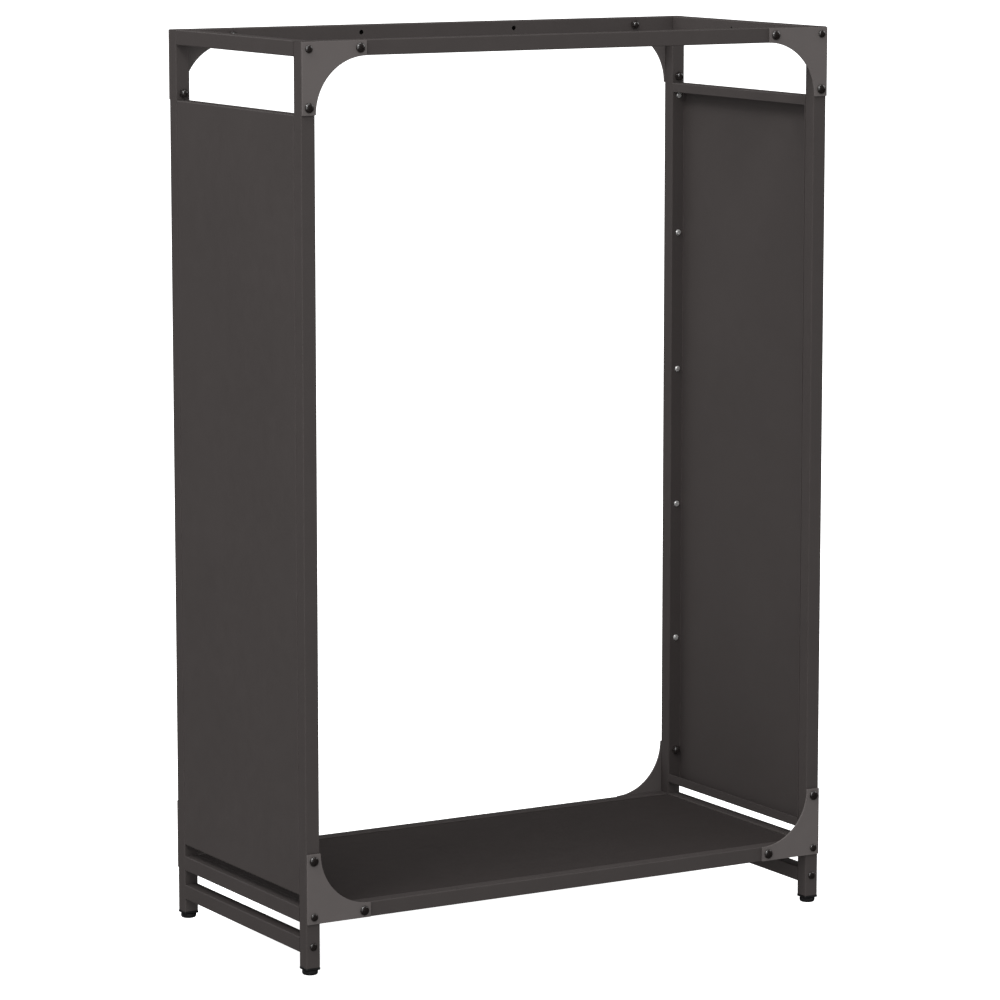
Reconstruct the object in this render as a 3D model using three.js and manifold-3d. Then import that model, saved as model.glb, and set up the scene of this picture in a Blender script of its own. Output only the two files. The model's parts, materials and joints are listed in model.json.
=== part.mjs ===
// Firewood log rack: a free-standing steel frame of square tube, with two sheet side panels, a sheet
// shelf, eight gusset plates and four levelling feet. Millimetres. +Z is up, X runs along the width,
// -Y is the front, and the origin is on the floor under the middle of the rack.
import * as THREE from 'three';
import { mergeVertices } from 'three/addons/utils/BufferGeometryUtils.js';
import Module from 'manifold-3d';

// Overall size of the frame
const frameWidth = 600;
const frameDepth = 280;
const frameHeight = 906;

// Square tube
const tubeSide = 15;
const tubeWall = 1.2;
const tubeEdgeRadius = 1;
const endPlugLength = 8;

// Heights of the rails' undersides
const topRailZ = frameHeight - tubeSide;
const shelfRailZ = 51;
const stretcherZ = 21;

// Sheet parts
const sheet = 1.2;
const panelBottomZ = 78;
const panelTopZ = 836;
const panelLip = 9.5;
const shelfDrop = 1;
const shelfEdge = 12;
const shelfNotch = 13;

// Gusset plates
const gussetLeg = 70;
const gussetThickness = 2;
const gussetInset = 0.5;

// Places of the bolts, counted from a gusset's outer corner
const nearBolt = tubeSide / 2;
const farBolt = 63;

// Button head bolts, as radii and a height. The M4 ones screw into the side rails' ends, and the M5
// ones have cap nuts.
const m4 = { shank: 2, hole: 2.3, head: 3.8, headHeight: 2.2 };
const m5 = { shank: 2.5, hole: 2.8, head: 4.75, headHeight: 2.75 };
const nutAcrossFlats = 8;
const nutHeight = 3.6;
const nutDomeRadius = 3.5;
const nutDome = 2.2;

// Panel screws, first one below the panel's top edge
const screwHoleRadius = 1.7;
const screwCount = 5;
const screwFirst = 13;
const screwPitch = 146.3;

// Holes in the top rails
const wallHoleX = 90;
const wallHoleRadius = 2.5;
const ventHoleRadius = 1.5;
const ventHoleY = -12;

// Feet
const postBottomZ = 7.5;
const collarSide = 15.8;
const collarEdgeRadius = 1.5;
const collarThickness = 2.3;
const insertSide = 12;
const insertEdgeRadius = 0.5;
const insertDepth = 16;
const padHeight = 4.7;
const padRadius = 7.9;
const padFloorRadius = 6.2;
const studRadius = 2.9;
const studBoreRadius = 3.2;
const studLength = 17;
const threadChamfer = 0.8;

// Clearance between pieces that touch, and how far a cutter or a joined piece runs past a face
const gap = 0.25;
const overrun = 1;

// Fineness of the round shapes
const roundSegments = 12;
const padSegments = 16;
const holeSegments = 8;
const arcSegments = 24;
const edgeSegments = 3;
const rimSteps = 2;

const halfWidth = frameWidth / 2;
const halfDepth = frameDepth / 2;
const innerX = halfWidth - tubeSide;
const innerY = halfDepth - tubeSide;
const stretcherAxisZ = stretcherZ + tubeSide / 2;

const wasm = await Module();
wasm.setup();

const anthracite = { color: 0x3f3b3a, roughness: 0.55, metalness: 0.3 };
const gussetGrey = { color: 0x565250, roughness: 0.5, metalness: 0.3 };
const blackSteel = { color: 0x0f0f10, roughness: 0.35, metalness: 0.6 };
const blackPlastic = { color: 0x0b0b0c, roughness: 0.6, metalness: 0 };

// Turns geometry so that its X, Y and Z lie along the given axes.
function turned(geometry, xAxis, yAxis, zAxis) {
  const axes = [xAxis, yAxis, zAxis].map((axis) => new THREE.Vector3(...axis));
  return geometry.applyMatrix4(new THREE.Matrix4().makeBasis(...axes));
}

const zToX = (geometry) => turned(geometry, [0, 1, 0], [0, 0, 1], [1, 0, 0]);
const zToY = (geometry) => turned(geometry, [0, 0, 1], [1, 0, 0], [0, 1, 0]);
const yToZ = (geometry) => turned(geometry, [0, 1, 0], [0, 0, 1], [1, 0, 0]);

// A closed geometry as a solid that can be cut and joined.
function solid(geometry) {
  geometry.deleteAttribute('normal');
  geometry.deleteAttribute('uv');
  const merged = mergeVertices(geometry);
  const vertProperties = merged.attributes.position.array;
  const triVerts = new Uint32Array(merged.index.array);
  return new wasm.Manifold(new wasm.Mesh({ numProp: 3, vertProperties, triVerts }));
}

// A solid as flat-shaded geometry.
function faceted(shape) {
  const made = shape.getMesh();
  const points = new THREE.BufferAttribute(Float32Array.from(made.vertProperties), 3);
  const geometry = new THREE.BufferGeometry().setAttribute('position', points);
  geometry.setIndex(new THREE.BufferAttribute(Uint32Array.from(made.triVerts), 1));
  const flat = geometry.toNonIndexed();
  flat.computeVertexNormals();
  return flat;
}

// A box between two corners.
function box(low, high) {
  const size = high.map((value, axis) => value - low[axis]);
  const centre = high.map((value, axis) => (value + low[axis]) / 2);
  return solid(new THREE.BoxGeometry(...size).translate(...centre));
}

// A square with rounded corners, centred on the origin.
function roundedSquare(side, radius) {
  const reach = side / 2 - radius;
  const shape = new THREE.Shape();
  const corners = [[1, 1], [-1, 1], [-1, -1], [1, -1]];
  corners.forEach(([x, y], quarter) => {
    const start = (quarter * Math.PI) / 2;
    shape.absarc(x * reach, y * reach, radius, start, start + Math.PI / 2, false);
  });
  return shape;
}

// A bar of that section along Z, from z = 0.
function squareBar(side, radius, length) {
  const options = { depth: length, bevelEnabled: false, curveSegments: edgeSegments };
  return new THREE.ExtrudeGeometry(roundedSquare(side, radius), options);
}

// A round cutter along Y, with its middle at y = 0.
function roundCutter(radius, length = 2 * frameDepth, segments = holeSegments) {
  return new THREE.CylinderGeometry(radius, radius, length, segments);
}

const boltHole = (bolt, x, z) => solid(roundCutter(bolt.hole).translate(x, 0, z));

const cutAll = (shape, cutters) => cutters.reduce((rest, cutter) => rest.subtract(cutter), shape);

const bar = (length) => squareBar(tubeSide, tubeEdgeRadius, length);
const bore = (length) => new THREE.BoxGeometry(
  tubeSide - 2 * tubeWall, tubeSide - 2 * tubeWall, length,
);

// A post, closed at the top, open at the bottom for the foot insert. Its middle is on the Z axis.
function postShape() {
  const outside = solid(bar(frameHeight - postBottomZ).translate(0, 0, postBottomZ));
  const boreLength = 2 * (frameHeight - tubeWall);
  const m4Heights = [frameHeight - nearBolt, shelfRailZ + nearBolt, stretcherAxisZ];
  const m5Heights = [frameHeight - farBolt, shelfRailZ + farBolt];
  const m4Holes = m4Heights.map((z) => boltHole(m4, 0, z));
  const m5Holes = m5Heights.map((z) => boltHole(m5, 0, z));
  // The screws go into the wall that faces the other post of the same side, which is at +Y.
  const screws = screwHeights().map((z) => screwHole(0, tubeSide / 2, z));
  return cutAll(outside, [solid(bore(boreLength)), ...m4Holes, ...m5Holes, ...screws]);
}

function screwHeights() {
  return Array.from({ length: screwCount }, (_, i) => panelTopZ - screwFirst - i * screwPitch);
}

const screwHole = (x, y, z) => solid(roundCutter(screwHoleRadius, tubeSide / 2).translate(x, y, z));

// A rail along X between the posts, with a bolt hole near each end and any extra holes.
function crossRailShape(extraHoles) {
  const length = 2 * (innerX - gap);
  const outside = solid(zToX(bar(length).translate(0, 0, -length / 2)));
  const inside = solid(zToX(bore(length + 2 * overrun)));
  const boltX = halfWidth - farBolt;
  const bolts = [-boltX, boltX].map((x) => boltHole(m5, x, 0));
  return cutAll(outside.subtract(inside), [...bolts, ...extraHoles]);
}

// A rail along Y between the posts, with a tapped plug welded into each end.
function sideRailShape() {
  const length = 2 * (innerY - gap);
  const hollow = length - 2 * endPlugLength;
  const outside = solid(zToY(bar(length).translate(0, 0, -length / 2)));
  return cutAll(outside, [solid(zToY(bore(hollow))), boltHole(m4, 0, 0)]);
}

// A side top rail has a small vent hole through its inner wall, which is at +X on the left side.
function ventedSideRailShape() {
  const cutter = zToX(yToZ(roundCutter(ventHoleRadius, tubeSide / 2)));
  return sideRailShape().subtract(solid(cutter.translate(tubeSide / 2, ventHoleY, 0)));
}

// The left side panel: a tray whose outer face is flush with the posts, with flanges turned in to
// the frame on all four edges and a lip turned back from the top and bottom flanges.
function sidePanelShape() {
  const outer = -halfWidth;
  const inner = -innerX;
  const reach = innerY - gap;
  const blank = box([outer, -reach, panelBottomZ], [inner, reach, panelTopZ]);
  const side = reach - sheet;
  const pocket = box(
    [outer + sheet, -side, panelBottomZ + sheet],
    [inner - sheet, side, panelTopZ - sheet],
  );
  const mouth = box(
    [inner - 2 * sheet, -side, panelBottomZ + panelLip],
    [inner + sheet, side, panelTopZ - panelLip],
  );
  const axis = -halfWidth + tubeSide / 2;
  const screws = screwHeights().flatMap((z) => [-side, side].map((y) => screwHole(axis, y, z)));
  const bolt = boltHole(m5, axis, shelfRailZ + farBolt);
  return cutAll(blank, [pocket, mouth, bolt, ...screws]);
}

// The shelf: a sheet with its edges turned down inside the rails, notched for the rail bolts' nuts.
function shelfShape() {
  const reachX = innerX - gap;
  const reachY = innerY - gap;
  const top = shelfRailZ + tubeSide - shelfDrop;
  const bottom = top - shelfEdge;
  const blank = box([-reachX, -reachY, bottom], [reachX, reachY, top]);
  const pocket = box(
    [sheet - reachX, sheet - reachY, bottom - sheet],
    [reachX - sheet, reachY - sheet, top - sheet],
  );
  const boltX = halfWidth - farBolt;
  const notches = [-boltX, boltX].map((x) => box(
    [x - shelfNotch / 2, -innerY, bottom - sheet],
    [x + shelfNotch / 2, innerY, top - sheet],
  ));
  return cutAll(blank, [pocket, ...notches]);
}

// A gusset for the upper left corner of the front: legs along +X and -Z, thickness towards -Y.
function gussetShape() {
  const outline = new THREE.Shape();
  outline.moveTo(gussetInset, gussetInset);
  outline.lineTo(gussetLeg, gussetInset);
  outline.lineTo(gussetLeg, tubeSide);
  const arcRadius = gussetLeg - tubeSide;
  outline.absarc(gussetLeg, gussetLeg, arcRadius, -Math.PI / 2, -Math.PI, true);
  outline.lineTo(gussetInset, gussetLeg);
  const corner = boltHole(m4, nearBolt, -nearBolt);
  const ends = [boltHole(m5, farBolt, -nearBolt), boltHole(m5, nearBolt, -farBolt)];
  const options = { depth: gussetThickness, bevelEnabled: false, curveSegments: arcSegments };
  const plate = new THREE.ExtrudeGeometry(outline, options);
  const upright = turned(plate, [1, 0, 0], [0, 0, -1], [0, 1, 0]);
  return cutAll(solid(upright.translate(0, -gussetThickness, 0)), [corner, ...ends]);
}

// Points of a dome's quarter outline, from the axis at the top down to its rim.
function domeOutline(radius, height, rim, steps) {
  return Array.from({ length: steps + 1 }, (_, i) => {
    const angle = (i / steps) * (Math.PI / 2);
    return new THREE.Vector2(radius * Math.sin(angle), rim + height * Math.cos(angle));
  });
}

// A bolt along Y with its head's underside at y = 0 and its shank towards +Y.
function plainBolt(size, length) {
  const outline = [
    ...domeOutline(size.head, -size.headHeight, 0, 3),
    new THREE.Vector2(size.shank, 0),
    new THREE.Vector2(size.shank, length - threadChamfer),
    new THREE.Vector2(size.shank - threadChamfer, length),
    new THREE.Vector2(0, length),
  ];
  return solid(new THREE.LatheGeometry(outline, roundSegments));
}

// An M5 bolt with a cap nut on it: the nut's seat is at y = grip.
function boltWithNut(grip) {
  const bolt = plainBolt(m5, grip + nutHeight);
  const across = nutAcrossFlats / Math.sqrt(3);
  const hex = new THREE.CylinderGeometry(across, across, nutHeight, 6);
  const nut = solid(hex.translate(0, grip + nutHeight / 2, 0));
  const dome = domeOutline(nutDomeRadius, nutDome, grip + nutHeight, 2).reverse();
  const root = grip + nutHeight - overrun;
  const cap = solid(new THREE.LatheGeometry(
    [new THREE.Vector2(0, root), new THREE.Vector2(nutDomeRadius, root), ...dome],
    roundSegments,
  ));
  return bolt.add(nut).add(cap);
}

// The square plug in a post's lower end: a collar below the tube and a bore for the stud.
function footInsertShape() {
  const collarTop = postBottomZ - gap;
  const collar = squareBar(collarSide, collarEdgeRadius, collarThickness);
  const plug = squareBar(insertSide, insertEdgeRadius, insertDepth + overrun);
  collar.translate(0, 0, collarTop - collarThickness);
  plug.translate(0, 0, collarTop - overrun);
  const height = 4 * insertDepth;
  const stud = yToZ(new THREE.CylinderGeometry(studBoreRadius, studBoreRadius, height, roundSegments));
  return solid(collar).add(solid(plug)).subtract(solid(stud));
}

// A levelling foot: a pad with a rounded rim on the floor, and its stud up inside the insert.
function levellingFootShape() {
  const tip = padHeight + studLength;
  const rim = new THREE.Path().moveTo(padFloorRadius, 0);
  rim.quadraticCurveTo(padRadius, 0, padRadius, padHeight / 2);
  rim.quadraticCurveTo(padRadius, padHeight, padFloorRadius, padHeight);
  const stud = [
    [studRadius, padHeight], [studRadius, tip - threadChamfer],
    [studRadius - threadChamfer, tip], [0, tip],
  ];
  const points = [
    new THREE.Vector2(0, 0),
    ...rim.getPoints(rimSteps),
    ...stud.map(([radius, z]) => new THREE.Vector2(radius, z)),
  ];
  return solid(yToZ(new THREE.LatheGeometry(points, padSegments)));
}

const rack = new THREE.Group();
rack.name = 'firewood_log_rack';

// Adds one named mesh to a parent.
function place(parent, name, shape, look, position = [0, 0, 0]) {
  const mesh = new THREE.Mesh(faceted(shape), new THREE.MeshStandardMaterial(look));
  mesh.name = name;
  mesh.position.set(...position);
  parent.add(mesh);
  return mesh;
}

// The front and the rear are the same half frame, the rear one turned half round about Z.
const halves = [
  { end: 'front', turn: 0, sides: ['left', 'right'] },
  { end: 'rear', turn: Math.PI, sides: ['right', 'left'] },
];

const post = postShape();
const footInsert = footInsertShape();
const levellingFoot = levellingFootShape();
const gusset = gussetShape();
const seat = gap + gussetThickness;
const cornerBolt = plainBolt(m4, seat + gap + tubeSide + endPlugLength);
const postBolt = boltWithNut(seat + tubeSide + 2 * gap);
const flangeBolt = boltWithNut(seat + tubeSide + sheet + 3 * gap);

// The two corners on a post that carry gussets: height of the outer corner, and which way is inwards.
const levels = [
  { level: 'top', z: frameHeight, inward: -1 },
  { level: 'bottom', z: shelfRailZ, inward: 1 },
];

for (const { end, turn, sides } of halves) {
  const half = new THREE.Group();
  half.rotation.z = turn;
  rack.add(half);
  sides.forEach((side, index) => {
    const sign = index === 0 ? -1 : 1;
    const axisX = sign * (halfWidth - tubeSide / 2);
    const axisY = -halfDepth + tubeSide / 2;
    const corner = `${end}_${side}`;
    place(half, `post_${corner}`, post, anthracite, [axisX, axisY, 0]);
    place(half, `foot_insert_${corner}`, footInsert, blackPlastic, [axisX, axisY, 0]);
    place(half, `levelling_foot_${corner}`, levellingFoot, blackPlastic, [axisX, axisY, 0]);
    for (const { level, z, inward } of levels) {
      const name = `${corner}_${level}`;
      const faceY = -halfDepth - gap;
      const plate = place(half, `gusset_${name}`, gusset, gussetGrey, [sign * halfWidth, faceY, z]);
      plate.rotation.y = gussetTurn(sign, inward);
      const headY = -halfDepth - seat - gap;
      const nearZ = z + inward * nearBolt;
      const farZ = z + inward * farBolt;
      const railX = sign * (halfWidth - farBolt);
      const onPost = level === 'top' ? postBolt : flangeBolt;
      place(half, `corner_bolt_${name}`, cornerBolt, blackSteel, [axisX, headY, nearZ]);
      place(half, `post_bolt_${name}`, onPost, blackSteel, [axisX, headY, farZ]);
      place(half, `rail_bolt_${name}`, postBolt, blackSteel, [railX, headY, nearZ]);
    }
  });
}

// A gusset's turn about Y that carries its legs from the upper left corner to another corner.
function gussetTurn(sign, inward) {
  if (inward < 0) return sign < 0 ? 0 : Math.PI / 2;
  return sign < 0 ? -Math.PI / 2 : Math.PI;
}

const crossRail = crossRailShape([]);
const wallCutter = roundCutter(wallHoleRadius, 2 * tubeSide, roundSegments);
const wallHoles = [-wallHoleX, wallHoleX].map((x) => solid(wallCutter.clone().translate(x, 0, 0)));
const railY = halfDepth - tubeSide / 2;
const topAxisZ = topRailZ + tubeSide / 2;
const shelfAxisZ = shelfRailZ + tubeSide / 2;
place(rack, 'top_rail_front', crossRail, anthracite, [0, -railY, topAxisZ]);
place(rack, 'top_rail_rear', crossRailShape(wallHoles), anthracite, [0, railY, topAxisZ]);
place(rack, 'shelf_rail_front', crossRail, anthracite, [0, -railY, shelfAxisZ]);
place(rack, 'shelf_rail_rear', crossRail, anthracite, [0, railY, shelfAxisZ]);

// Each side: the left one as it is, the right one turned half round about Z.
const sideRail = sideRailShape();
const ventedSideRail = ventedSideRailShape();
const sidePanel = sidePanelShape();
const wingAxisX = -halfWidth + tubeSide / 2;
for (const [side, turn] of [['left', 0], ['right', Math.PI]]) {
  const wing = new THREE.Group();
  wing.rotation.z = turn;
  rack.add(wing);
  place(wing, `top_rail_${side}`, ventedSideRail, anthracite, [wingAxisX, 0, topAxisZ]);
  place(wing, `shelf_rail_${side}`, sideRail, anthracite, [wingAxisX, 0, shelfAxisZ]);
  place(wing, `lower_stretcher_${side}`, sideRail, anthracite, [wingAxisX, 0, stretcherAxisZ]);
  place(wing, `side_panel_${side}`, sidePanel, anthracite);
}

place(rack, 'shelf', shelfShape(), anthracite);

export default rack;
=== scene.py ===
import json
import math

import bmesh
import bpy
from mathutils import Matrix, Vector


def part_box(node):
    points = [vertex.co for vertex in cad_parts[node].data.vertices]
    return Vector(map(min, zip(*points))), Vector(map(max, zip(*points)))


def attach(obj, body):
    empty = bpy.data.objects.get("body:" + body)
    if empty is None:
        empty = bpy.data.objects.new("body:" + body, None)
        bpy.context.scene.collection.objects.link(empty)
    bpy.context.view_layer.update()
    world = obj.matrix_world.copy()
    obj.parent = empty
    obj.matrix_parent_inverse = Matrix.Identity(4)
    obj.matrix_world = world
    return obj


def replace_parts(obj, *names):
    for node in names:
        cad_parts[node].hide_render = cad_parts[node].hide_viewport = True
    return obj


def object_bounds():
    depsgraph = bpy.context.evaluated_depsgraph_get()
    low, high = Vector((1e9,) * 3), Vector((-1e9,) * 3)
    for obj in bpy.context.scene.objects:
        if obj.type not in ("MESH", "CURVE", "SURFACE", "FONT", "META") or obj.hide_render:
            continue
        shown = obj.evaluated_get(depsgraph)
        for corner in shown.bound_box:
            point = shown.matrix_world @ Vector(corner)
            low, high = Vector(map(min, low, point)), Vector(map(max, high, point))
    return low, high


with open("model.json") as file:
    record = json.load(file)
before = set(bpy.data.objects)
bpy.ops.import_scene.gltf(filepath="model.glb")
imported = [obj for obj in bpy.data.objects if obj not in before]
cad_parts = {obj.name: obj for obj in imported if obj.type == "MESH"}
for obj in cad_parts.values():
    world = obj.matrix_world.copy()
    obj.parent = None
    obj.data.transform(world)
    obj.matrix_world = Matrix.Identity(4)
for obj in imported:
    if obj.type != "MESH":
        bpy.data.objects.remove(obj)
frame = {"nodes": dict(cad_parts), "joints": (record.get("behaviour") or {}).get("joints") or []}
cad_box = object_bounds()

MM = 0.001

# Sheet parts
SHEET = 1.2 * MM
FOLD_RADIUS = 1.6 * MM
PANEL_LIP = 9.5 * MM
CUT_EDGE = 0.2 * MM
NOTCH_WIDTH = 13 * MM
NOTCH_TOP = 2.4 * MM

# Fasteners: shank and head radii, head heights and sizes across the flats
M4 = {"shank": 2.0 * MM, "head": 3.8 * MM, "height": 2.2 * MM}
M5 = {"shank": 2.5 * MM, "head": 4.75 * MM, "height": 2.75 * MM}
NUT_FLATS = 8 * MM
NUT_HEIGHT = 3.6 * MM
NUT_DOME_RADIUS = 3.5 * MM
NUT_DOME = 2.2 * MM
NUT_CHAMFER = 0.35 * MM
NUT_SEAT_EASE = 0.1 * MM
NUT_BACK_EASE = 0.05 * MM
NUT_DOME_RIM = 0.1 * MM
PLAIN_BOLT_LENGTH = 26 * MM
BOLT_TIP = 0.6 * MM
SCREW_HEAD = 3.1 * MM
SCREW_HEIGHT = 1.9 * MM
SCREW_SHANK = 1.6 * MM
SCREW_LENGTH = 7 * MM
SCREWS_PER_FLANGE = 5
FIRST_SCREW_BELOW_TOP = 13 * MM
SCREW_PITCH = 146.3 * MM
CLEARANCE = 0.25 * MM

# Rims of the heads: the rim's height above the head's underside, and how far the edge below it is
# drawn in at each height
BOLT_RIM = 0.45 * MM
BOLT_HEAD_EDGE = ((0.06 * MM, 0.12 * MM), (0.25 * MM, 0))
SCREW_RIM = 0.5 * MM
SCREW_HEAD_EDGE = ((0.05 * MM, 0.15 * MM), (0.2 * MM, 0))

# Cross recess: height, reach and half width of a blade's two ends
RECESS_MOUTH = (2.6 * MM, 2.0 * MM, 0.42 * MM)
RECESS_FLOOR = (0.5 * MM, 0.55 * MM, 0.3 * MM)

# How far one fastener is turned from the next, in radians, so that no two look alike
BOLT_TURN = 2.4
STRETCHER_BOLT_TURN = 1.1
FIRST_SCREW_TURN = 0.55
SCREW_TURN = 1.9

# Feet
COLLAR_EDGE = 1.5 * MM
COLLAR_EASE = 0.4 * MM
INSERT_SIDE = 12 * MM
INSERT_EDGE = 0.5 * MM
STUD_BORE = 3.2 * MM
FOOT_STUD = 2.9 * MM
STUD_TIP = 0.6 * MM
FOOT_PAD_HEIGHT = 4.7 * MM
PAD_EASE = 1.3 * MM
SOLE_INSET = 1.6 * MM
HOLLOW_INSET = 1.2 * MM
HOLLOW_RIM = 0.9 * MM
HOLLOW_DEPTH = 0.25 * MM

# A square whose corner radius is this share of its half side is round, and keeps its corner points
NEARLY_ROUND = 0.999

# The photograph's viewing angle
VIEW_AZIMUTH = -30.39
VIEW_ELEVATION = 8.74
VIEW_DISTANCE = 4.5394
VIEW_AIM = (-0.0020, -0.0033, -0.0253)
LENS = 160.6
VIEW_RANGE = 200

# Studio
STUDIO = 25
FLOOR_TONE = 0.8
FLOOR_GLOW = 0.97
FLOOR_CLEARANCE = 0.5 * MM
AIR_LIGHT = 0.78

# Paint: noise in cells per metre, and how much lighter its edges are painted, as a painted
# highlight
DRIFT_CELLS = 9
CLOUD_CELLS = 60
PEEL_CELLS = 750
GRAIN_CELLS = 3200
# Painted highlight: the share by which the colour is made lighter along rounded edges
EDGE_HIGHLIGHT = 0.14
EDGE_REACH = 0.7 * MM

# Mesh detail: points round a circle, and the segments and widths of folds and eased edges
ROUND = 48
FOLD_SEGMENTS = 4
EASE_SEGMENTS = 2
EASE_WIDTH = 0.18 * MM
WELD_DISTANCE = 0.01 * MM


# ---------------------------------------------------------------- meshes

def circle(radius, height, count=ROUND):
    angles = [2 * math.pi * i / count for i in range(count)]
    return [(radius * math.cos(a), radius * math.sin(a), height) for a in angles]


def hexagon(across_flats, height, count=ROUND):
    """Points round a hexagon, with a corner on the X axis."""
    points = []
    for i in range(count):
        angle = 2 * math.pi * i / count
        from_flat = (angle % (math.pi / 3)) - math.pi / 6
        radius = across_flats / 2 / math.cos(from_flat)
        points.append((radius * math.cos(angle), radius * math.sin(angle), height))
    return points


def rounded_square(side, radius, height, per_corner=ROUND // 4):
    """Points round a square with rounded corners."""
    reach = side / 2 - radius
    points = []
    for quarter, (sx, sy) in enumerate([(1, 1), (-1, 1), (-1, -1), (1, -1)]):
        for step in range(per_corner):
            angle = math.pi / 2 * (quarter + step / (per_corner - 1))
            x = sx * reach + radius * math.cos(angle)
            y = sy * reach + radius * math.sin(angle)
            points.append((x, y, height))
    return points


def quarter_ellipse(rim_radius, rim_height, top_radius, top_height, steps):
    """(radius, height) pairs from a top edge round to a vertical rim."""
    pairs = []
    for i in range(steps + 1):
        angle = math.pi / 2 * i / steps
        radius = top_radius + (rim_radius - top_radius) * math.sin(angle)
        pairs.append((radius, rim_height + (top_height - rim_height) * math.cos(angle)))
    return pairs


def skin(name, rings):
    """A closed mesh over rings of equal count, whose first and last entries are single points."""
    count = len(rings[1])
    vertices = [rings[0]] + [p for ring in rings[1:-1] for p in ring] + [rings[-1]]
    last = len(vertices) - 1
    faces = []
    for i in range(count):
        j = (i + 1) % count
        faces.append((0, 1 + i, 1 + j))
        for k in range(len(rings) - 3):
            a, b = 1 + k * count, 1 + (k + 1) * count
            faces.append((a + i, b + i, b + j, a + j))
        faces.append((last, last - count + j, last - count + i))
    mesh = bpy.data.meshes.new(name)
    mesh.from_pydata(vertices, [], faces)
    return shaded(mesh)


def shaded(mesh, sharp_degrees=38):
    """Smooth shading that breaks at sharp edges."""
    mesh.update()
    mesh.shade_smooth()
    mesh.set_sharp_from_angle(angle=math.radians(sharp_degrees))
    return mesh


def piece(name, mesh, material, body, place=None):
    """A new piece of the object, in its place on its body."""
    made = bpy.data.objects.new(name, mesh)
    bpy.context.scene.collection.objects.link(made)
    made.matrix_world = place or Matrix.Identity(4)
    if not mesh.materials:
        mesh.materials.append(material)
    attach(made, body)
    return made


# ---------------------------------------------------------------- fasteners

def domed_head(radius, height, rim, edge, shank, steps):
    """Rings of a domed head with its underside at z = 0, from its top down to the shank."""
    dome = quarter_ellipse(radius, rim, 0, height, steps)
    rings = [(0, 0, height)]
    rings += [circle(r, h) for r, h in dome[1:]]
    rings += [circle(radius - inset, h) for inset, h in edge]
    rings += [circle(shank, 0)]
    return rings


def bolt_head(size):
    return domed_head(size["head"], size["height"], BOLT_RIM, BOLT_HEAD_EDGE, size["shank"], 16)


def plain_bolt_mesh(name, size, length):
    """A bolt, length from its head's underside to its tip."""
    rings = bolt_head(size)
    rings += [circle(size["shank"], BOLT_TIP - length)]
    rings += [circle(size["shank"] - BOLT_TIP, -length), (0, 0, -length)]
    return skin(name, rings)


def bolt_with_cap_nut_mesh(name, size, length):
    """A bolt and its cap nut, length from the head's underside to the top of the nut's dome."""
    seat = -(length - NUT_HEIGHT - NUT_DOME)
    back = seat - NUT_HEIGHT
    rings = bolt_head(size)
    rings += [circle(size["shank"], seat), circle(NUT_FLATS / 2 - NUT_SEAT_EASE, seat)]
    rings += [hexagon(NUT_FLATS, seat - NUT_CHAMFER), hexagon(NUT_FLATS, back + 2 * NUT_CHAMFER)]
    rings += [circle(NUT_FLATS / 2 - NUT_BACK_EASE, back)]
    dome = quarter_ellipse(NUT_DOME_RADIUS, NUT_DOME_RIM, 0, NUT_DOME, 10)
    rings += [circle(r, back - h) for r, h in reversed(dome[1:])]
    rings += [(0, 0, -length)]
    return skin(name, rings)


def cross_recess_cutter():
    """A cross recess as two tapered blades."""
    vertices, faces = [], []
    for turn in (0, math.pi / 2):
        rotation = Matrix.Rotation(turn, 3, "Z")
        start = len(vertices)
        for height, reach, half in (RECESS_MOUTH, RECESS_FLOOR):
            for sx, sy in ((1, 1), (-1, 1), (-1, -1), (1, -1)):
                vertices.append(rotation @ Vector((sx * reach, sy * half, height)))
        mouth = [start + i for i in range(4)]
        floor = [start + 4 + i for i in range(4)]
        faces += [mouth, list(reversed(floor))]
        for i in range(4):
            j = (i + 1) % 4
            faces.append((mouth[i], floor[i], floor[j], mouth[j]))
    mesh = bpy.data.meshes.new("cross_recess")
    mesh.from_pydata(vertices, [], faces)
    cutter = bpy.data.objects.new("cross_recess", mesh)
    bpy.context.scene.collection.objects.link(cutter)
    return cutter


def pan_head_screw_mesh(name):
    """A pan head screw with a cross recess, its head's underside at z = 0."""
    rings = domed_head(SCREW_HEAD, SCREW_HEIGHT, SCREW_RIM, SCREW_HEAD_EDGE, SCREW_SHANK, 10)
    rings += [circle(SCREW_SHANK, SCREW_SHANK - SCREW_LENGTH), (0, 0, -SCREW_LENGTH)]
    blank = bpy.data.objects.new(name, skin(name, rings))
    bpy.context.scene.collection.objects.link(blank)
    cutter = cross_recess_cutter()
    cut = blank.modifiers.new("recess", "BOOLEAN")
    cut.operation = "DIFFERENCE"
    cut.object = cutter
    cut.use_self = True
    evaluated = blank.evaluated_get(bpy.context.evaluated_depsgraph_get())
    mesh = bpy.data.meshes.new_from_object(evaluated)
    bpy.data.objects.remove(blank)
    bpy.data.objects.remove(cutter)
    mesh.name = name
    return shaded(mesh)


def outward(sign, spin):
    """A turn that carries +Z to the front (-1) or the rear (+1), after a spin about it."""
    return Matrix.Rotation(-sign * math.pi / 2, 4, "X") @ Matrix.Rotation(spin, 4, "Z")


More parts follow.
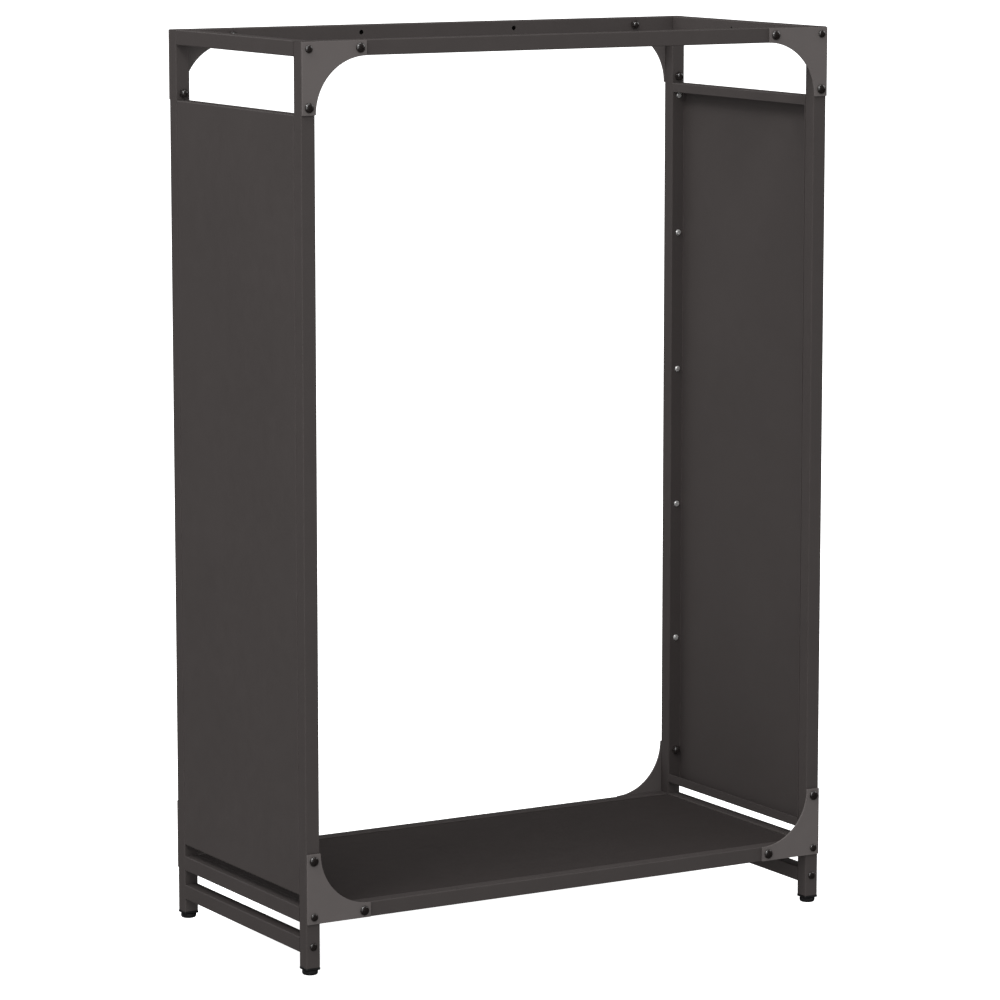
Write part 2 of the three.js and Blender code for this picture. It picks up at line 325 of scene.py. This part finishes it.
def fit_bolts():
    """A detailed bolt in the place of each bolt of the frame."""
    meshes = {}
    names = [n for n in frame["nodes"] if "_bolt_" in n]
    for index, node in enumerate(sorted(names)):
        low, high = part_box(node)
        sign = -1 if "_front_" in node else 1
        size = M4 if node.startswith("corner") else M5
        length = round((high.y - low.y - size["height"]) / MM, 2) * MM
        key = (size["head"], length)
        if key not in meshes:
            make = plain_bolt_mesh if size is M4 else bolt_with_cap_nut_mesh
            meshes[key] = make(f"bolt_mesh_{len(meshes)}", size, length)
        centre = (low + high) / 2
        seat = (low.y if sign < 0 else high.y) - sign * size["height"]
        place = Matrix.Translation((centre.x, seat, centre.z)) @ outward(sign, index * BOLT_TURN)
        made = piece(f"{node}_detailed", meshes[key], FASTENER, "frame", place)
        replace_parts(made, node)


def fit_stretcher_bolts():
    """The bolts through the posts into the ends of the lower stretchers."""
    mesh = plain_bolt_mesh("stretcher_bolt_mesh", M4, PLAIN_BOLT_LENGTH)
    for side in ("left", "right"):
        low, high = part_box(f"lower_stretcher_{side}")
        centre = (low + high) / 2
        for end, sign in (("front", -1), ("rear", 1)):
            post_low, post_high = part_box(f"post_{end}_{side}")
            face = (post_low.y if sign < 0 else post_high.y) + sign * CLEARANCE / 2
            turn = outward(sign, STRETCHER_BOLT_TURN * sign)
            place = Matrix.Translation((centre.x, face, centre.z)) @ turn
            name = f"stretcher_bolt_{end}_{side}"
            piece(name, mesh, FASTENER, "frame", place)


def fit_panel_screws():
    """A row of screws in each upright flange of the side panels, their heads inside the tray."""
    mesh = pan_head_screw_mesh("panel_screw_mesh")
    for side in ("left", "right"):
        low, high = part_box(f"side_panel_{side}")
        axis = (low.x + high.x) / 2
        for end, sign in (("front", 1), ("rear", -1)):
            flange = (low.y if sign > 0 else high.y) + sign * SHEET
            for i in range(SCREWS_PER_FLANGE):
                height = high.z - FIRST_SCREW_BELOW_TOP - i * SCREW_PITCH
                turn = outward(sign, FIRST_SCREW_TURN + SCREW_TURN * i * sign)
                place = Matrix.Translation((axis, flange, height)) @ turn
                name = f"panel_screw_{end}_{side}_{i + 1}"
                piece(name, mesh, ZINC, "frame", place)


# ---------------------------------------------------------------- folded sheet

def folded(name, xs, ys, zs, filled, fold, material, slot, *nodes):
    """A sheet part from the filled cells of a grid, with its folds and its cut edges rounded.

    filled(i, j, k) says which cells are sheet, and fold(a, b) which outer edges are folds.
    """
    grid = (xs, ys, zs)
    cells = [
        (i, j, k)
        for i in range(len(xs) - 1)
        for j in range(len(ys) - 1)
        for k in range(len(zs) - 1)
        if filled(i, j, k)
    ]
    shape = bmesh.new()
    corners = {}

    def corner(place):
        if place not in corners:
            corners[place] = shape.verts.new([grid[axis][place[axis]] for axis in range(3)])
        return corners[place]

    taken = set(cells)
    for cell in cells:
        for axis in range(3):
            for side in (0, 1):
                beyond = list(cell)
                beyond[axis] += 2 * side - 1
                if tuple(beyond) in taken:
                    continue
                around = []
                for u, v in ((0, 0), (1, 0), (1, 1), (0, 1)):
                    place = list(cell)
                    place[axis] += side
                    place[(axis + 1) % 3] += u
                    place[(axis + 2) % 3] += v
                    around.append(corner(tuple(place)))
                shape.faces.new(around if side else reversed(around))
    bmesh.ops.dissolve_limit(shape, angle_limit=0.01, verts=shape.verts, edges=shape.edges)
    weight = shape.edges.layers.float.new("bevel_weight_edge")
    for edge in shape.edges:
        if edge.calc_face_angle() < 1:
            continue
        radius = FOLD_RADIUS - SHEET
        if edge.is_convex:
            radius = FOLD_RADIUS if fold(*[vertex.co for vertex in edge.verts]) else CUT_EDGE
        edge[weight] = radius / FOLD_RADIUS
    mesh = bpy.data.meshes.new(name)
    shape.to_mesh(mesh)
    shape.free()
    mesh.shade_smooth()
    made = piece(name, mesh, material, "frame")
    folds = made.modifiers.new("folds", "BEVEL")
    folds.width = FOLD_RADIUS
    folds.segments = FOLD_SEGMENTS
    folds.limit_method = "WEIGHT"
    flatten(made)
    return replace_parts(made, *nodes)


def flatten(part):
    """Shading normals that keep the flat faces flat."""
    normals = part.modifiers.new("normals", "WEIGHTED_NORMAL")
    normals.weight = 100
    normals.keep_sharp = False


def soften(part, width):
    """A small round on every sharp edge, with flat faces kept flat."""
    edges = part.modifiers.new("edges", "BEVEL")
    edges.width = width
    edges.segments = EASE_SEGMENTS
    edges.limit_method = "ANGLE"
    edges.angle_limit = math.radians(40)
    flatten(part)


def side_panel(side, sign):
    """A tray with its outer face on side sign, four flanges, and lips at the top and the bottom."""
    low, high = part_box(f"side_panel_{side}")
    outer, inner = (low.x, high.x) if sign < 0 else (high.x, low.x)
    web, lip_layer = (0, 2) if sign < 0 else (2, 0)
    xs = [low.x, low.x + SHEET, high.x - SHEET, high.x]
    ys = [low.y, low.y + SHEET, high.y - SHEET, high.y]
    zs = [low.z, low.z + SHEET, low.z + PANEL_LIP, high.z - PANEL_LIP, high.z - SHEET, high.z]

    def filled(i, j, k):
        return i == web or j in (0, 2) or k in (0, 4) or (i == lip_layer and k != 2)

    def fold(a, b):
        on_web = max(abs(a.x - outer), abs(b.x - outer)) < CUT_EDGE
        on_lip = max(abs(a.x - inner), abs(b.x - inner)) < CUT_EDGE and any(
            max(abs(a.z - z), abs(b.z - z)) < CUT_EDGE for z in (low.z, high.z)
        )
        return on_web or on_lip

    name = f"side_panel_{side}"
    folded(f"{name}_folded", xs, ys, zs, filled, fold, PANEL_PAINT, "panel_paint", name)


def shelf():
    """A sheet with its edges turned down, notched for the nuts on the rails."""
    low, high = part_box("shelf")
    notches = []
    for side in ("left", "right"):
        bolt_low, bolt_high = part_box(f"rail_bolt_front_{side}_bottom")
        middle = (bolt_low.x + bolt_high.x) / 2
        notches += [middle - NOTCH_WIDTH / 2, middle + NOTCH_WIDTH / 2]
    xs = [low.x, low.x + SHEET, *notches, high.x - SHEET, high.x]
    ys = [low.y, low.y + SHEET, high.y - SHEET, high.y]
    zs = [low.z, high.z - NOTCH_TOP, high.z - SHEET, high.z]

    def filled(i, j, k):
        notched = k == 0 and i in (2, 4)
        return k == 2 or i in (0, 6) or (j in (0, 2) and not notched)

    def fold(a, b):
        return min(a.z, b.z) > high.z - CUT_EDGE

    # The shelf's paint is darkened as painted shade
    folded("shelf_folded", xs, ys, zs, filled, fold, SHELF_PAINT_WITH_SHADE, "shelf_paint", "shelf")


# ---------------------------------------------------------------- feet

def foot_insert(corner):
    """The square collar below a post, as moulded: eased edges, a plug and a bore for the stud."""
    low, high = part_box(f"foot_insert_{corner}")
    post_low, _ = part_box(f"post_{corner}")
    centre = (low + high) / 2
    side = high.x - low.x
    collar = post_low.z - CLEARANCE - low.z
    top = high.z - low.z
    eased = (side - 2 * COLLAR_EASE, COLLAR_EDGE - COLLAR_EASE)
    full = (side, COLLAR_EDGE)
    plug = (INSERT_SIDE, INSERT_EDGE)
    bore = (2 * STUD_BORE, STUD_BORE * NEARLY_ROUND)
    levels = [
        (bore, collar), (bore, 0),
        (eased, 0), (full, COLLAR_EASE), (full, collar - COLLAR_EASE), (eased, collar),
        (plug, collar), (plug, top),
    ]
    rings = [(0, 0, collar)]
    rings += [rounded_square(*square, height) for square, height in levels]
    rings += [(0, 0, top)]
    place = Matrix.Translation((centre.x, centre.y, low.z))
    mesh = skin(f"foot_insert_mesh_{corner}", rings)
    made = piece(f"foot_insert_{corner}_moulded", mesh, PLASTIC, "frame", place)
    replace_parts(made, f"foot_insert_{corner}")


def levelling_foot(corner):
    """A rounded pad, a little hollow underneath, on its stud."""
    node = f"levelling_foot_{corner}"
    low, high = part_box(node)
    centre = (low + high) / 2
    radius = (high.x - low.x) / 2
    top = high.z - low.z
    sole = radius - SOLE_INSET
    lower = quarter_ellipse(radius, FOOT_PAD_HEIGHT * 0.5, sole, 0, 8)
    upper = quarter_ellipse(
        radius, FOOT_PAD_HEIGHT - PAD_EASE, radius - PAD_EASE, FOOT_PAD_HEIGHT, 6,
    )
    rings = [(0, 0, HOLLOW_DEPTH), circle(sole - HOLLOW_INSET, HOLLOW_DEPTH)]
    rings += [circle(sole - HOLLOW_RIM, 0), circle(sole, 0)]
    rings += [circle(r, h) for r, h in lower[1:]]
    rings += [circle(r, h) for r, h in reversed(upper)]
    rings += [circle(FOOT_STUD, FOOT_PAD_HEIGHT), circle(FOOT_STUD, top - STUD_TIP)]
    rings += [circle(FOOT_STUD - STUD_TIP, top), (0, 0, top)]
    mesh = skin(f"levelling_foot_mesh_{corner}", rings)
    place = Matrix.Translation((centre.x, centre.y, low.z))
    made = piece(f"{node}_moulded", mesh, PLASTIC, f"foot_{corner}", place)
    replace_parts(made, node)


# ---------------------------------------------------------------- materials

def blank_material(name):
    """A new material with its nodes, its links and its shader."""
    material = bpy.data.materials.new(name)
    material.use_nodes = True
    nodes = material.node_tree.nodes
    return material, nodes, material.node_tree.links, nodes["Principled BSDF"]


def place_on_piece(nodes):
    """A piece's own coordinates, in metres."""
    return nodes.new("ShaderNodeTexCoord").outputs["Object"]


def noise(nodes, links, cells, detail, where):
    """3-D noise over the piece's own coordinates, in cells per metre."""
    made = nodes.new("ShaderNodeTexNoise")
    made.inputs["Scale"].default_value = cells
    made.inputs["Detail"].default_value = detail
    links.new(where, made.inputs["Vector"])
    return made.outputs["Fac"]


def spread(nodes, links, value, low, high):
    """A noise value stretched to run from low to high."""
    made = nodes.new("ShaderNodeMapRange")
    made.inputs["From Min"].default_value = 0.3
    made.inputs["From Max"].default_value = 0.7
    made.inputs["To Min"].default_value = low
    made.inputs["To Max"].default_value = high
    links.new(value, made.inputs["Value"])
    return made.outputs["Result"]


def arithmetic(nodes, links, operation, *values):
    """A Math node on sockets and plain numbers."""
    made = nodes.new("ShaderNodeMath")
    made.operation = operation
    for socket, value in zip(made.inputs, values):
        if isinstance(value, (int, float)):
            socket.default_value = value
        else:
            links.new(value, socket)
    return made.outputs[0]


def scaled_colour(nodes, links, colour, factor):
    """A colour made lighter or darker by a factor that varies over the surface."""
    made = nodes.new("ShaderNodeVectorMath")
    made.operation = "SCALE"
    made.inputs[0].default_value = colour
    links.new(factor, made.inputs["Scale"])
    return made.outputs["Vector"]


def mottled(nodes, links, shader, cloud, colour, shades, roughness):
    """A colour and a roughness that both follow one noise, each within its own two limits."""
    shade = spread(nodes, links, cloud, *shades)
    links.new(scaled_colour(nodes, links, colour, shade), shader.inputs["Base Color"])
    links.new(spread(nodes, links, cloud, *roughness), shader.inputs["Roughness"])


def bumped(nodes, links, shader, layers):
    """Bump layers, each (height, strength, distance), one on another."""
    normal = None
    for height, strength, distance in layers:
        made = nodes.new("ShaderNodeBump")
        made.inputs["Strength"].default_value = strength
        made.inputs["Distance"].default_value = distance
        links.new(height, made.inputs["Height"])
        if normal:
            links.new(normal, made.inputs["Normal"])
        normal = made.outputs["Normal"]
    links.new(normal, shader.inputs["Normal"])


def edge_mask(nodes, links, reach):
    """0 on flat faces, rising to 1 where the surface turns within reach."""
    rounded = nodes.new("ShaderNodeBevel")
    rounded.samples = 4
    rounded.inputs["Radius"].default_value = reach
    plain = nodes.new("ShaderNodeNewGeometry")
    alike = nodes.new("ShaderNodeVectorMath")
    alike.operation = "DOT_PRODUCT"
    links.new(rounded.outputs["Normal"], alike.inputs[0])
    links.new(plain.outputs["Normal"], alike.inputs[1])
    mask = nodes.new("ShaderNodeMapRange")
    mask.inputs["From Min"].default_value = 0.995
    mask.inputs["From Max"].default_value = 0.9
    links.new(alike.outputs["Value"], mask.inputs["Value"])
    return mask.outputs["Result"]


def powder_coat(name, colour, roughness, specular):
    """Baked powder paint: orange peel, fine grain, slow drifts of tone, and edges painted lighter
    as a painted highlight.
    """
    material, nodes, links, shader = blank_material(name)
    where = place_on_piece(nodes)
    drift = noise(nodes, links, DRIFT_CELLS, 3, where)
    cloud = noise(nodes, links, CLOUD_CELLS, 4, where)
    peel = noise(nodes, links, PEEL_CELLS, 2, where)
    grain = noise(nodes, links, GRAIN_CELLS, 1, where)
    slow = spread(nodes, links, drift, 0.975, 1.025)
    quick = spread(nodes, links, cloud, 0.985, 1.015)
    shade = arithmetic(nodes, links, "MULTIPLY", slow, quick)
    # Painted highlight: the colour is made lighter along every rounded edge, where light would
    # catch it
    edges = edge_mask(nodes, links, EDGE_REACH)
    edge_highlight = arithmetic(nodes, links, "MULTIPLY_ADD", edges, EDGE_HIGHLIGHT, 1)
    tone_with_highlight = arithmetic(nodes, links, "MULTIPLY", shade, edge_highlight)
    links.new(scaled_colour(nodes, links, colour, tone_with_highlight), shader.inputs["Base Color"])
    gloss = spread(nodes, links, cloud, roughness - 0.03, roughness + 0.03)
    links.new(gloss, shader.inputs["Roughness"])
    shader.inputs["Specular IOR Level"].default_value = specular
    bumped(nodes, links, shader, [(peel, 0.35, 0.06 * MM), (grain, 0.25, 0.02 * MM)])
    return material


def blackened_steel(name):
    """Black coated steel with a deep, slightly uneven gloss."""
    material, nodes, links, shader = blank_material(name)
    where = place_on_piece(nodes)
    cloud = noise(nodes, links, 500, 3, where)
    black = (0.013, 0.0095, 0.0085)
    mottled(nodes, links, shader, cloud, black, (0.85, 1.15), (0.30, 0.40))
    shader.inputs["Specular IOR Level"].default_value = 1.0
    shader.inputs["Coat Weight"].default_value = 1.0
    shader.inputs["Coat Roughness"].default_value = 0.15
    pores = noise(nodes, links, 1800, 2, where)
    bumped(nodes, links, shader, [(pores, 0.15, 0.02 * MM)])
    return material


def bright_zinc(name):
    """Zinc plated steel with fine turning marks."""
    material, nodes, links, shader = blank_material(name)
    where = place_on_piece(nodes)
    cloud = noise(nodes, links, 700, 3, where)
    mottled(nodes, links, shader, cloud, (0.88, 0.88, 0.87), (0.9, 1.08), (0.24, 0.34))
    shader.inputs["Metallic"].default_value = 0.75
    marks = nodes.new("ShaderNodeTexWave")
    marks.wave_type = "RINGS"
    marks.rings_direction = "Z"
    marks.inputs["Scale"].default_value = 900
    links.new(where, marks.inputs["Vector"])
    bumped(nodes, links, shader, [(marks.outputs["Fac"], 0.15, 0.01 * MM)])
    return material


def moulded_plastic(name):
    """Black polyamide with a fine spark-eroded texture."""
    material, nodes, links, shader = blank_material(name)
    where = place_on_piece(nodes)
    cloud = noise(nodes, links, 300, 3, where)
    mottled(nodes, links, shader, cloud, (0.009, 0.009, 0.0095), (0.85, 1.2), (0.5, 0.62))
    shader.inputs["Specular IOR Level"].default_value = 0.35
    texture = noise(nodes, links, 2500, 2, where)
    bumped(nodes, links, shader, [(texture, 0.4, 0.03 * MM)])
    return material


FRAME_PAINT = powder_coat("frame_powder_coat", (0.0505, 0.0435, 0.0420), 0.58, 0.22)
PANEL_PAINT = powder_coat("panel_powder_coat", (0.0510, 0.0440, 0.0425), 0.60, 0.20)
# Painted shade: the shelf gets a darker version of the same powder coat, standing in for the shade
# that falls on it between the side panels
SHELF_PAINT_WITH_SHADE = powder_coat("shelf_powder_coat_painted_shade", (0.033, 0.0279, 0.0268), 0.70, 0.08)
GUSSET_PAINT = powder_coat("gusset_powder_coat", (0.099, 0.0880, 0.0855), 0.58, 0.25)
FASTENER = blackened_steel("black_fastener")
ZINC = bright_zinc("bright_zinc")
PLASTIC = moulded_plastic("black_foot_plastic")


# ---------------------------------------------------------------- the object

TUBES = ("post_front", "post_rear", "top_rail", "shelf_rail", "lower_stretcher")


def finish_cad_nodes():
    """Paint on the tubes and the gussets, and small rounds on their edges."""
    for name, node in frame["nodes"].items():
        if name.startswith("gusset"):
            paint = GUSSET_PAINT
        elif name.startswith(TUBES):
            paint = FRAME_PAINT
        else:
            continue
        node.material_slots[0].material = paint
        weld = node.modifiers.new("weld", "WELD")
        weld.merge_threshold = WELD_DISTANCE
        soften(node, EASE_WIDTH)


finish_cad_nodes()
side_panel("left", -1)
side_panel("right", 1)
shelf()
fit_bolts()
fit_stretcher_bolts()
fit_panel_screws()
for corner in ("front_left", "front_right", "rear_left", "rear_right"):
    foot_insert(corner)
    levelling_foot(corner)


# ---------------------------------------------------------------- studio

def direction(azimuth, elevation):
    """A unit vector from the rack to a place round it, azimuth 0 in front and 90 on the right."""
    a, e = math.radians(azimuth), math.radians(elevation)
    return Vector((math.sin(a) * math.cos(e), -math.cos(a) * math.cos(e), math.sin(e)))


def facing(towards):
    """The turn of a lamp or camera that stands in that direction and looks back."""
    return (-towards).to_track_quat("-Z", "Y").to_euler()


def soft_light(name, azimuth, elevation, distance, size, power):
    """A round lamp that faces the rack's middle from that direction."""
    data = bpy.data.lights.new(name, "AREA")
    data.shape = "DISK"
    data.size = size
    data.energy = power
    lamp = bpy.data.objects.new(name, data)
    bpy.context.scene.collection.objects.link(lamp)
    towards = direction(azimuth, elevation)
    lamp.location = MIDDLE + towards * distance
    lamp.rotation_euler = facing(towards)


def bright_white(name, tone, glow):
    """A white surface that also glows, so that it stays white where the rack shades it."""
    material, _, _, shader = blank_material(name)
    shader.inputs["Base Color"].default_value = (tone, tone, tone, 1)
    shader.inputs["Roughness"].default_value = 1.0
    shader.inputs["Specular IOR Level"].default_value = 0
    shader.inputs["Emission Color"].default_value = (1, 1, 1, 1)
    shader.inputs["Emission Strength"].default_value = glow
    return material


def stage_piece(name, mesh, material):
    """Part of the studio: seen by the camera, and sending no light of its own to the rack."""
    mesh.materials.append(material)
    made = bpy.data.objects.new(name, mesh)
    bpy.context.scene.collection.objects.link(made)
    made.visible_diffuse = False
    made.visible_glossy = False
    made.visible_shadow = False
    return made


def pale_floor():
    """A floor that the feet just clear when they are wound right out."""
    corners = [(x * STUDIO, y * STUDIO, 0) for x, y in ((-1, -1), (1, -1), (1, 1), (-1, 1))]
    mesh = bpy.data.meshes.new("floor")
    mesh.from_pydata(corners, [], [(0, 1, 2, 3)])
    floor = stage_piece("floor", mesh, bright_white("floor_white", FLOOR_TONE, FLOOR_GLOW))
    travel = max(joint["range_m"][1] for joint in frame["joints"])
    floor.location.z = -travel - FLOOR_CLEARANCE


def backdrop():
    """A white dome far behind and above the rack on all sides."""
    rows, count = 12, 48
    rings = [(0, 0, -STUDIO)]
    for row in range(1, rows):
        angle = math.pi * row / rows
        rings.append(circle(STUDIO * math.sin(angle), -STUDIO * math.cos(angle), count))
    rings.append((0, 0, STUDIO))
    stage_piece("backdrop", skin("backdrop", rings), bright_white("backdrop_white", 0.0, 1.0))


def even_light(strength):
    """Light from all round, of one strength, that leaves reflections to the lamps."""
    world = bpy.data.worlds.new("studio_air")
    bpy.context.scene.world = world
    world.use_nodes = True
    background = world.node_tree.nodes["Background"]
    background.inputs["Color"].default_value = (1, 1, 1, 1)
    background.inputs["Strength"].default_value = strength
    world.cycles_visibility.glossy = False


def camera():
    data = bpy.data.cameras.new("camera")
    data.lens = LENS
    data.clip_end = VIEW_RANGE
    made = bpy.data.objects.new("camera", data)
    bpy.context.scene.collection.objects.link(made)
    towards = direction(VIEW_AZIMUTH, VIEW_ELEVATION)
    made.location = MIDDLE + Vector(VIEW_AIM) + towards * VIEW_DISTANCE
    made.rotation_euler = facing(towards)
    bpy.context.scene.camera = made


MIDDLE = (cad_box[0] + cad_box[1]) / 2
pale_floor()
backdrop()
even_light(AIR_LIGHT)
soft_light("upper_left", -72, 52, 5.5, 2.23, 118)
soft_light("front_left", -35, 38, 3.2, 0.9, 18)
soft_light("low_left", -45, 12, 3.2, 2.6, 18)
soft_light("overhead", 0, 86, 3.2, 2.0, 25)
soft_light("rear_left", -150, 40, 3.2, 2.0, 18)
soft_light("right", 85, 30, 3.2, 2.0, 15)
camera()
bpy.context.scene.view_settings.view_transform = "Standard"
